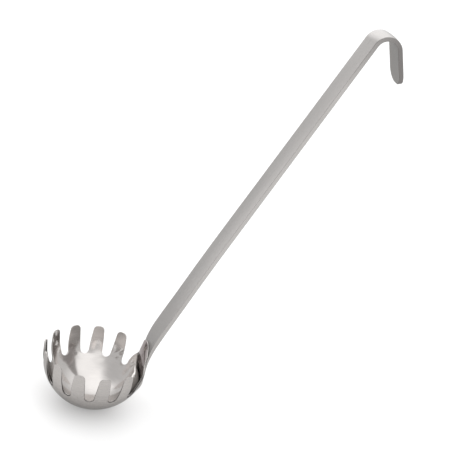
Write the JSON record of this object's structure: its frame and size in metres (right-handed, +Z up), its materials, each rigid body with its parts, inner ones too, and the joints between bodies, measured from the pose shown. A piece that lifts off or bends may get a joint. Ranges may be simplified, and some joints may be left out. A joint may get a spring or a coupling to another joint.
{
  "type": "spaghetti server",
  "caption": "Steel spaghetti server: a round bowl cut into tall tines, welded to a long flat strap handle that ends in a hanging hook, for lifting and draining pasta.",
  "frame": {"origin": "the bowl's lowest point, on the axis of the bowl, where it meets the worktop", "axes": "+Z up along the bowl's axis, +X towards the handle, X-Z is the mirror plane"},
  "size_m": [0.2241, 0.0832, 0.33],
  "materials": {
    "polished_steel": "polished",
    "satin_steel": "satin",
    "weld_steel": "matt, as welded"
  },
  "bodies": {
    "root": {"tined_bowl": "polished_steel", "handle_strap": "satin_steel", "spot_weld_1": "weld_steel", "spot_weld_2": "weld_steel", "spot_weld_3": "weld_steel"}
  },
  "joints": []
}
